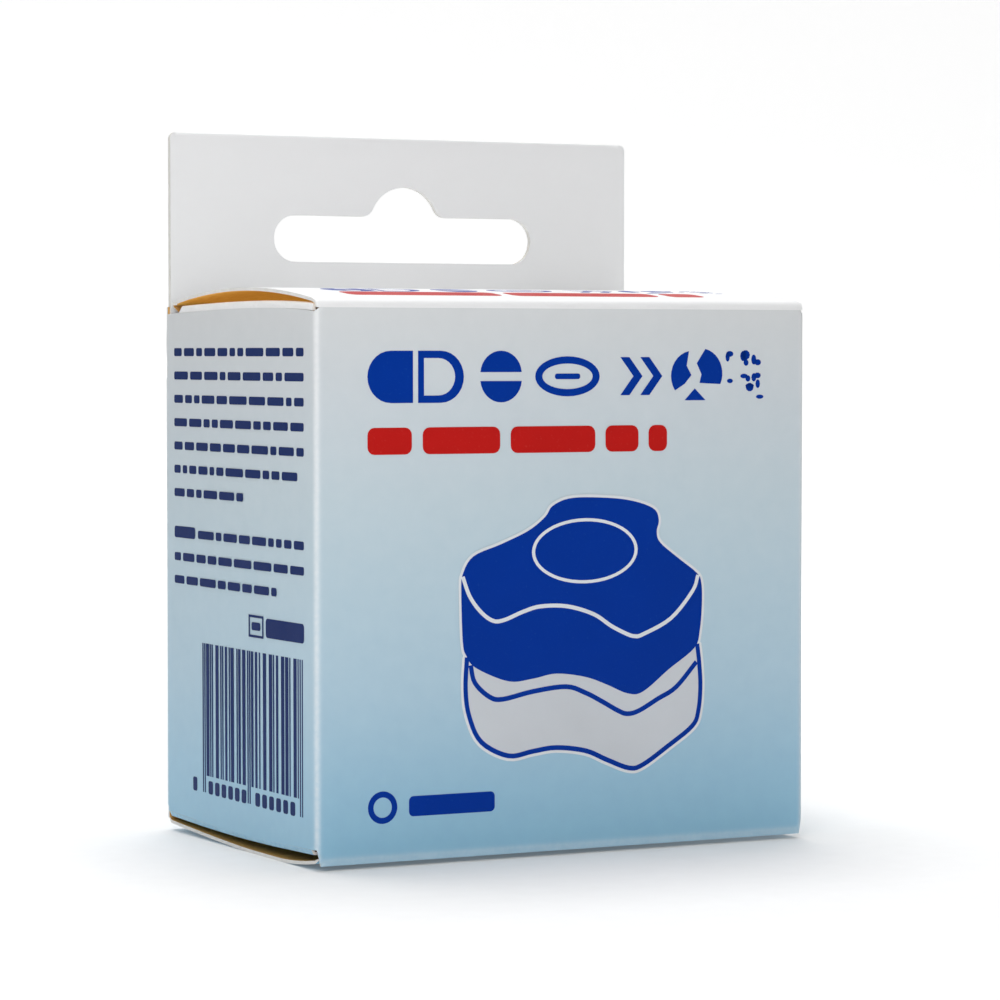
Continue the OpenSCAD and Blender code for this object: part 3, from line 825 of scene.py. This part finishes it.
CAP_FOOT = AXIS_Y - cap_hi[1]
CAP_TOP = AXIS_Y - corners_of("cap_disc")[0][1]
DOME_RISE = 5.4
DOME_R = (LOBE_R ** 2 + DOME_RISE ** 2) / (2 * DOME_RISE)
SHOULDER = 1.7
DISC_R = corners_of("cap_disc")[1][0]
seat = CAP_TOP - WALL
MIDDLE_R, PIN_HOLE, MIDDLE_T = 15.9, 2.55, 4.4


def dome(radii, depth=0.0):
    """Height of the cap's domed outside, or of the surface that lies depth inside it."""
    return CAP_TOP - DOME_R + np.sqrt((DOME_R - depth) ** 2 - radii ** 2)


cap_rings = [*edge(0.5, CAP_FOOT + 0.5, 0.5, 270, 180, 4), ring(0, (CAP_FOOT + CAP_TOP - DOME_RISE) / 2)]
cap_rings += [*edge(SHOULDER, lambda radii: dome(radii) - SHOULDER, SHOULDER, 180, 90, 8)]
cap_rings += [ring(SHOULDER, dome, DISC_R + 0.35, t) for t in (0.25, 0.5, 0.75, 1)]
cap_rings += [ring(SHOULDER, lambda radii: dome(radii) - 0.2, DISC_R + 0.1, 1)]
cap_rings += [ring(SHOULDER, seat, DISC_R + 0.05, 1)]
cap_rings += [ring(SHOULDER, h, PIN_HOLE, 1) for h in (seat, CAP_TOP - MIDDLE_T)]
cap_rings += [ring(WALL, CAP_TOP - MIDDLE_T, MIDDLE_R, 1)]
cap_rings += [ring(WALL, lambda radii: dome(radii, WALL), MIDDLE_R, t) for t in (1, 0.5, 0)]
cap_rings += [ring(WALL, (CAP_FOOT + CAP_TOP) / 2), ring(WALL, CAP_FOOT + 0.4), ring(WALL - 0.4, CAP_FOOT)]
cap = loft("cap", cap_rings, cap_plastic)
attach(cap, "cap")
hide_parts("cap_shell")

disc_rings = [ring(0, seat, DISC_R - 0.2, 1), ring(0, seat + 0.2, DISC_R, 1)]
disc_rings += [ring(0, lambda radii: dome(radii) - 0.3, DISC_R, 1)]
disc_rings += [ring(0, lambda radii: dome(radii) - 0.1, DISC_R - 0.1, 1), ring(0, dome, DISC_R - 0.35, 1)]
disc_rings += [ring(0, dome, r, 1) for r in (9.5, 7, 4.5, 2.5, 1.2)]
disc = loft("inlay", disc_rings, disc_plastic, closed=False)
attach(disc, "cap")
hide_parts("cap_disc")

# ---- Crusher's works ----
# The floor that closes the base, the cup with its outer thread and crushing ribs, the ribbed stamp with its
# stem, and the sleeve with the cap's thread are moulded; the pin and its retaining ring are turned and
# stamped from steel.

steel, wire, shader = new_material("steel")
place = wire.node("TexCoord", out=3)
brushed = wire.node("Mapping", {}, {"Vector": place, "Scale": (40, 1, 40)})
lines = wire.node("TexNoise", {}, {"Vector": brushed, "Scale": 160, "Detail": 4})
normal = wire.node("Bump", {}, {"Strength": 0.15, "Distance": 0.00002, "Height": lines})
connect(shader, {"Metallic": 1.0}, {"Base Color": lines.mix((0.5, 0.51, 0.53, 1), (0.62, 0.63, 0.65, 1)),
                                    "Roughness": lines * 0.25 + 0.2, "Normal": normal})
works = {"base_floor": base_plastic, "crush_cup": cup_plastic, "thread_sleeve": cup_plastic,
         "stamp_plate": stamp_plastic, "stamp_stem": stamp_plastic, "stamp_pin": steel,
         "retaining_ring": steel}
for node, tone in works.items():
    mesh = bpy.data.objects[node].data
    mesh.materials.clear()
    mesh.materials.append(tone)

# ---- Print ----
# Litho inks on the outside of the board: deep blue, red, grey and near-black. Each ink is a film that follows
# its panel and stands a few hundredths of a millimetre proud. All lettering is replaced by bars and pictures.

INK_LOW = -0.03
FACE_LEFT = -half_w


def film(name, shapes, place, tone, proud=0.006, cell=2.6):
    """Ink shapes on one panel as one piece; each shape is a list of loops in the panel's own coordinates."""
    layers, flats = [], []
    for loops in shapes:
        p = np.array(loops[0])
        us = ticks(p[:, 0].min() + 0.3, p[:, 0].max() - 0.3, cell)
        vs = ticks(p[:, 1].min() + 0.3, p[:, 1].max() - 0.3, cell)
        flat, faces = flat_cut(loops, us, vs, cell)
        outer, normal = place(flat[:, 0], flat[:, 1])
        layers.append((outer + normal * proud, outer + normal * INK_LOW, faces))
        flats += [flat, flat]
    flat = np.concatenate(flats)
    flat3 = np.column_stack([flat * MM, 0 * flat[:, 0]])
    return solid_mesh(name, layers, (tone, tone, tone), {"flat": flat3})


def bar(x0, y0, x1, y1, r=0.0):
    """A rectangle as a shape, with corners of radius r."""
    if not r:
        return [[(x0, y0), (x1, y0), (x1, y1), (x0, y1)]]
    corners = ((x1 - r, y0 + r, -90), (x1 - r, y1 - r, 0), (x0 + r, y1 - r, 90), (x0 + r, y0 + r, 180))
    return [[p for x, y, a in corners for p in arc_points(x, y, r, a, a + 90, 4)]]


def oval(x, y, rx, ry=None, steps=36):
    """An ellipse as a loop."""
    ry = rx if ry is None else ry
    return [(x + rx * math.cos(a), y + ry * math.sin(a)) for a in np.linspace(0, 2 * math.pi, steps + 1)[:-1]]


def smooth(points, closed, steps=5):
    """A smooth line through points."""
    p = np.array(points, float)
    if closed:
        p = np.concatenate([p[-1:], p, p[:2]])
    else:
        p = np.concatenate([[2 * p[0] - p[1]], p, [2 * p[-1] - p[-2]]])
    line = []
    for a, b, c, d in zip(p, p[1:], p[2:], p[3:]):
        for t in np.arange(steps) / steps:
            line.append(0.5 * (2 * b + (c - a) * t + (2 * a - 5 * b + 4 * c - d) * t ** 2
                               + (3 * b - a - 3 * c + d) * t ** 3))
    return np.array(line if closed else line + [p[-2]])


def offset(line, by, closed):
    """A line moved sideways, to its left, by a distance."""
    if closed:
        along = np.roll(line, -1, 0) - np.roll(line, 1, 0)
    else:
        along = np.gradient(line, axis=0)
    along /= np.linalg.norm(along, axis=1)[:, None]
    return line + by * np.stack([-along[:, 1], along[:, 0]], 1)


def stroke(line, width):
    """An open line drawn with a pen, as a shape."""
    return [[*map(tuple, offset(line, width / 2, False)), *map(tuple, offset(line, -width / 2, False)[::-1])]]


def words(x0, x1, y, height, seed, gap=0.8, last=1.0):
    """A line of text shown as one bar for each word."""
    rng = np.random.default_rng(seed)
    shapes, x = [], x0
    end = x0 + (x1 - x0) * last
    while x < end - 1.2:
        length = min(rng.uniform(1.6, 6.2) * height / 1.2, end - x)
        if end - x - length < 1.6:
            length = end - x
        shapes.append(bar(x, y, x + length, y + height, height * 0.28))
        x += length + gap
    return shapes


def ink_material(name, colour, worn, rough=0.32):
    """Satin ink: slow density drift, fine speckle where the board shows through, and the board's grain."""
    material, wire, shader = new_material(name)
    normal, place = paper_surface(wire, 0.2, 0.18)
    drift = wire.node("TexNoise", {}, {"Vector": place, "Scale": 90, "Detail": 3})
    speck = wire.node("TexNoise", {}, {"Vector": place, "Scale": 2400, "Detail": 2})
    worn_share = wire.node("MapRange", {}, {0: speck, 1: 0.62, 2: 0.8, 3: 0.0, 4: 0.2})
    colour = worn_share.mix((drift * 0.8).mix(colour, tuple(c * 0.8 for c in colour[:3]) + (1,)), worn)
    connect(shader, {"Specular IOR Level": 0.06, "IOR": 1.5},
            {"Base Color": colour, "Roughness": drift * 0.15 + rough, "Normal": normal})
    return material


blue_ink = ink_material("blue_ink", (0.0, 0.036, 0.33, 1), (0.03, 0.1, 0.4, 1))
red_ink = ink_material("red_ink", (0.55, 0.012, 0.01, 1), (0.7, 0.12, 0.1, 1))
grey_ink = ink_material("grey_ink", (0.66, 0.69, 0.73, 1), (0.72, 0.75, 0.78, 1))
halo_ink = ink_material("halo_ink", (0.8, 0.83, 0.86, 1), (0.84, 0.86, 0.88, 1))
navy_ink = ink_material("navy_ink", (0.004, 0.022, 0.13, 1), (0.06, 0.1, 0.24, 1))

# pictures of tablets in place of the headline, as loops about their own centres
ROW_Z, ROW_R = 60.1, 3.2


def pictograms(x0):
    """Capsule, scored tablet, oval tablet, arrows and crushed tablet in a row that starts at x0."""
    x, z, r = x0, ROW_Z, ROW_R
    half = [(x + 6.2, z + r)] + arc_points(x + r, z, r, 90, 270, 14) + [(x + 6.2, z - r)]
    other = arc_points(x + 10.0, z, r, -90, 90, 14) + [(x + 6.9, z + r), (x + 6.9, z - r)]
    inner = arc_points(x + 9.7, z, r - 0.9, -90, 90, 14) + [(x + 7.7, z + r - 0.9), (x + 7.7, z - r + 0.9)]
    shapes = [[half], [other, inner]]
    x += 18.4
    shapes += [[arc_points(x, z + 0.3, r - 0.3, 5, 175, 16)], [arc_points(x, z - 0.3, r - 0.3, 185, 355, 16)]]
    x += 9.4
    shapes += [[oval(x, z, 4.6, 2.5), oval(x, z, 3.6, 1.6)], bar(x - 1.8, z - 0.35, x + 1.8, z + 0.35, 0.3)]
    x += 7.6
    for k in range(2):
        a = x + k * 2.9
        shapes.append([[(a, z + 2.4), (a + 1.3, z + 2.4), (a + 3.2, z),
                        (a + 1.3, z - 2.4), (a, z - 2.4), (a + 1.9, z)]])
    x += 10.6
    left_crack = [(x - 1.2, z - 1.0), (x - 0.2, z + 0.1), (x - 0.9, z + 1.3)]
    right_crack = [(x + 0.6, z + 1.6), (x + 1.3, z + 0.2), (x + 1.0, z - 0.9)]
    shapes += [[arc_points(x, z, r, 100, 215, 10) + left_crack],
               [arc_points(x + 1.2, z + 0.3, r, -25, 78, 10) + right_crack],
               [[(x - 1.2, z - 3.1), (x + 0.3, z - 1.6), (x + 1.9, z - 3.1)]]]
    rng = np.random.default_rng(5)
    for k in range(16):
        a = x + 5.0 + 5.6 * rng.random() ** 0.8
        shapes.append([oval(a, z + (rng.random() - 0.5) * 5.6, *(0.28 + 0.42 * rng.random(2)), 10)])
    return shapes


def word_row(x0, x1, z, height, seed):
    """The sub-headline as heavy bars, one for each word."""
    return words(x0, x1, z, height, seed, gap=1.5)


ROW_LEFT = FACE_LEFT + 7.1
cap_line = smooth([(-14.9, 35.7), (-15.1, 33.5), (-14.9, 27.4), (-14.4, 25.6), (-13.0, 24.0),
                   (-8.5, 22.2), (-5.0, 22.4), (-1.7, 22.9), (2.5, 22.3), (5.6, 21.2), (8.5, 20.0),
                   (10.8, 20.1), (14.6, 22.8), (18.4, 25.4), (19.2, 27.7), (19.5, 31.0), (19.4, 33.7),
                   (18.7, 35.0), (15.9, 37.0), (13.3, 39.0), (12.8, 40.4), (13.1, 41.9), (12.2, 43.4),
                   (8.5, 44.5), (3.6, 44.9), (0.0, 44.8), (-2.3, 43.9), (-3.3, 42.6), (-5.7, 40.9),
                   (-9.6, 39.3), (-13.4, 37.9)], True)
base_line = smooth([(-14.3, 25.4), (-14.5, 21.5), (-14.0, 18.1), (-12.3, 14.8), (-8.5, 12.9),
                    (-5.0, 13.3), (-1.7, 13.6), (2.5, 13.0), (5.6, 11.7), (8.8, 10.5), (10.8, 10.8),
                    (14.5, 13.0), (18.1, 15.4), (19.0, 17.3), (19.3, 20.5), (19.1, 23.6),
                    (18.8, 25.9)], False)
rim_line = smooth([(-14.9, 35.4), (-13.9, 32.9), (-12.3, 30.9), (-10.6, 29.8), (-9.0, 29.9),
                   (-6.5, 30.8), (-4.0, 31.4), (-0.2, 31.3), (3.6, 30.2), (6.2, 28.6), (8.5, 27.5),
                   (9.6, 27.2), (10.8, 27.4), (14.9, 29.3), (18.1, 32.7), (18.9, 34.7)], False)
inner_line = smooth([(-13.8, 24.4), (-13.2, 22.2), (-11.2, 20.4), (-9.3, 20.0), (-5.0, 20.8),
                     (-0.3, 21.2), (2.5, 20.3), (4.9, 19.1), (7.1, 17.9), (8.5, 17.4), (10.2, 17.7),
                     (13.0, 19.1), (15.7, 20.5), (18.7, 23.6)], False)
PEN = 0.62


def closed_between(line):
    """The area of the base's drawing as one loop, closed behind the cap."""
    return [*map(tuple, line), (14.0, 30.0), (-10.0, 30.0)]


base_fill = closed_between(base_line)
halo = [*map(tuple, offset(cap_line, -0.35, True))]
halo_base = [*map(tuple, offset(base_line, -0.35 - PEN / 2, False)), (14.0, 30.0), (-10.0, 30.0)]
drawing = [
    ("halo", [[halo_base]], halo_ink, 0.003),
    ("halo_cap", [[halo]], halo_ink, 0.006),
    ("base_grey", [[base_fill]], grey_ink, 0.009),
    ("base_lines", [stroke(base_line, PEN), stroke(inner_line, PEN)], blue_ink, 0.012),
    ("cap_blue", [[[*map(tuple, cap_line)]]], blue_ink, 0.016),
    ("cap_lines", [stroke(rim_line, 0.5), [oval(2.4, 38.2, 7.6, 4.1, 48), oval(2.4, 38.2, 7.15, 3.7, 48)]],
     halo_ink, 0.02)]
for name, shapes, tone, proud in drawing:
    picture = film("print_front_" + name, shapes, front_face, tone, proud)
    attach(picture, "carton")

# one small tablet and a bar stand for the piece count
count_mark = [[oval(FACE_LEFT + 9.1, 7.4, 2.0), oval(FACE_LEFT + 9.1, 7.4, 1.25)],
              bar(FACE_LEFT + 12.7, 6.1, FACE_LEFT + 24.6, 8.6, 0.6)]


def side_face(side):
    """Place function of a side panel; d runs along the panel from its left edge as one looks at it."""
    def place(d, z):
        y = half_d - d if side < 0 else d - half_d
        x = side * (wall_x + bow(y / wall_y, z, BOW["side"]))
        return np.column_stack([x, y, z]), np.tile([float(side), 0.0, 0.0], (len(y), 1))
    return place


def rear_face(w, z):
    """Outer face of the rear panel; w runs from its left edge as one looks at it."""
    x = half_w - w
    y = wall_y + bow(x / wall_x, z, BOW["front"])
    return np.column_stack([x, y, z]), np.tile([0.0, 1.0, 0.0], (len(x), 1))


def paragraph(left, right, top, pitch, height, gap, seed, fullness):
    """Lines of text from the top down; fullness gives the filled share of each line."""
    shapes = []
    for k, full in enumerate(fullness):
        shapes += words(left, right, top - pitch * k, height, seed + k, gap, full)
    return shapes


def moved(shapes, across, up):
    """Shapes shifted on their panel."""
    return [[[(x + across, z + up) for x, z in loop] for loop in shape] for shape in shapes]


MARGIN, LINE_PITCH, LINE_H, WORD_GAP = 3.4, 3.05, 1.05, 0.75
depth = 2 * half_d
text_end = depth - MARGIN
left_print = paragraph(MARGIN, text_end, 62.6, LINE_PITCH, LINE_H, WORD_GAP, 20, [1] * 6 + [0.55])
left_print += [bar(MARGIN, 38.9, 10.2, 40.4, 0.4)] + words(11.2, text_end, 39.0, LINE_H, 31, WORD_GAP)
left_print += paragraph(MARGIN, text_end, 35.9, 3.0, LINE_H, WORD_GAP, 32, [1, 0.8])
left_print += [[bar(27.2, 27.4, 31.6, 30.2)[0], bar(27.5, 27.7, 31.3, 29.9)[0]]]
left_print += [bar(28.1, 28.3, 30.7, 29.3, 0.3), bar(32.4, 27.6, 43.6, 30.0, 0.5)]

# a pattern of bars like a retail code's, which holds no number, with blocks below it for the digits
CODE_LEFT, CODE_W, CODE_TOP, CODE_BOTTOM, GUARD_BOTTOM, MODULE = 12.5, 31.0, 25.6, 8.5, 6.3, 0.33
GUARDS = (0, 1, 14, 15, 28, 29)
rng = np.random.default_rng(3)
code, x = [], CODE_LEFT
for k in range(30):
    width = MODULE if k in GUARDS else MODULE * rng.integers(1, 4)
    code.append((x, x + width, GUARD_BOTTOM if k in GUARDS else CODE_BOTTOM))
    x += width + MODULE * (1 if k in GUARDS else rng.integers(1, 4))
code_scale = CODE_W / (x - CODE_LEFT)
for a, b, low in code:
    left, right = (CODE_LEFT + (edge_x - CODE_LEFT) * code_scale for edge_x in (a, b))
    left_print.append(bar(left, low, right, CODE_TOP))
left_print += [bar(9.3, 6.2, 10.6, 8.0, 0.3)]
left_print += [bar(x + 2.1 * k, 6.2, x + 1.4 + 2.1 * k, 7.9, 0.35) for x in (14.3, 29.0) for k in range(6)]

right_lines = [1] * 4 + [0.6] + [1] * 3 + [0.6]
right_print = paragraph(4, depth - 4, 60.5, LINE_PITCH, LINE_H, WORD_GAP, 50, right_lines)
rear_print = paragraph(7.1, 2 * half_w - 7.1, 44.0, 3.2, 1.3, 0.8, 70, [1] * 7 + [0.5])
panel_prints = [
    ("print_front_blue", pictograms(ROW_LEFT) + count_mark, front_face, blue_ink),
    ("print_front_red", word_row(ROW_LEFT, FACE_LEFT + 49.3, 50.6, 3.3, 11), front_face, red_ink),
    ("print_left", left_print, side_face(-1), navy_ink),
    ("print_right", right_print, side_face(1), navy_ink),
    ("print_rear", rear_print, rear_face, navy_ink),
    ("print_rear_red", word_row(7.1, 49.3, 50.6, 3.3, 12), rear_face, red_ink),
    ("print_rear_blue", moved(pictograms(ROW_LEFT), half_w, 0), rear_face, blue_ink)]
for name, shapes, place, ink in panel_prints:
    picture = film(name, shapes, place, ink)
    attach(picture, "carton")

# the lid repeats the sub-headline and, behind it, the row of tablets, both read from the front
lid_prints = [("print_lid_red", word_row(ROW_LEFT, FACE_LEFT + 58.0, 5.2, 4.6, 13), red_ink),
              ("print_lid_blue", moved(pictograms(ROW_LEFT), 0, -46.5), blue_ink)]
for name, shapes, ink in lid_prints:
    picture = film(name, shapes, lid_face, ink)
    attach(picture, "lid")

# ---- Studio ----
# A white floor that curves up into a backdrop and glows more towards its right rear, a soft light from the
# front left, a broad one from above, and the camera with a long lens at the height of the lid.

FLOOR_HALF, FLOOR_RISE = 4.0, 3.0
floor_mesh = bpy.data.meshes.new("floor")
floor_line = [(-FLOOR_HALF, 0), (1.0, 0)]
floor_line += [(1.0 + math.sin(a), 1.0 - math.cos(a)) for a in np.linspace(0.1, math.pi / 2, 12)]
floor_line += [(2.0, FLOOR_RISE)]
count = len(floor_line)
floor_mesh.from_pydata([(x, y, z) for x in (-FLOOR_HALF, FLOOR_HALF) for y, z in floor_line], [],
                       [(k, k + count, k + count + 1, k + 1) for k in range(count - 1)])
floor_mesh.shade_smooth()
floor = bpy.data.objects.new("floor", floor_mesh)
bpy.context.scene.collection.objects.link(floor)
material, wire, shader = new_material("floor_paper")
place = wire.node("TexCoord", out=3)
grain = wire.node("TexNoise", {}, {"Vector": place, "Scale": 300, "Detail": 3})
GLOW_X, GLOW_Y, GLOW_FULL = 0.95, 0.3, 0.4
across = wire.node("SeparateXYZ", {}, {"Vector": place}) * GLOW_X
along = wire.node("SeparateXYZ", {}, {"Vector": place}, out=1) * GLOW_Y
behind = wire.node("MapRange", {}, {0: across + along, 1: 0.0, 2: GLOW_FULL})
connect(shader, {"Roughness": 0.8, "Emission Strength": 0.7},
        {"Base Color": grain.mix((0.78, 0.78, 0.78, 1), (0.82, 0.82, 0.82, 1)),
         "Emission Color": behind.mix((0.12, 0.12, 0.12, 1), (1, 1, 1, 1))})
floor_mesh.materials.append(material)

ROOM_LIGHT = 0.12
world = bpy.data.worlds.new("studio")
world.use_nodes = True
background = world.node_tree.nodes["Background"]
background.inputs["Color"].default_value = (1, 1, 1, 1)
background.inputs["Strength"].default_value = ROOM_LIGHT
bpy.context.scene.world = world


def soft_light(name, place, aim, size, power):
    """A square area light at place that points at aim."""
    data = bpy.data.lights.new(name, "AREA")
    data.size, data.energy = size, power
    lamp = bpy.data.objects.new(name, data)
    lamp.location = place
    lamp.rotation_mode = "QUATERNION"
    lamp.rotation_quaternion = (Vector(aim) - Vector(place)).to_track_quat("-Z", "Y")
    bpy.context.scene.collection.objects.link(lamp)


soft_light("key", (-0.22, -0.3, 0.2), (-0.03, -0.02, 0.05), 0.2, 0.72)
soft_light("top", (0, 0.2, 1.0), (0, 0, 0.045), 0.7, 9.0)

FOCAL_LENGTH = 135.54
CAMERA_AT = (-0.2278, -0.4359, 0.06313)
HEADING, TILT = (0.4675, 0.884), 2.25
camera_data = bpy.data.cameras.new("camera")
camera_data.sensor_width = 36
camera_data.lens = FOCAL_LENGTH
camera_data.clip_start = 0.01
camera = bpy.data.objects.new("camera", camera_data)
bpy.context.scene.collection.objects.link(camera)
forward = Vector((*HEADING, -math.tan(math.radians(TILT)))).normalized()
camera.location = CAMERA_AT
camera.rotation_mode = "QUATERNION"
camera.rotation_quaternion = forward.to_track_quat("-Z", "Y")
bpy.context.scene.camera = camera
bpy.context.scene.view_settings.view_transform = "Standard"
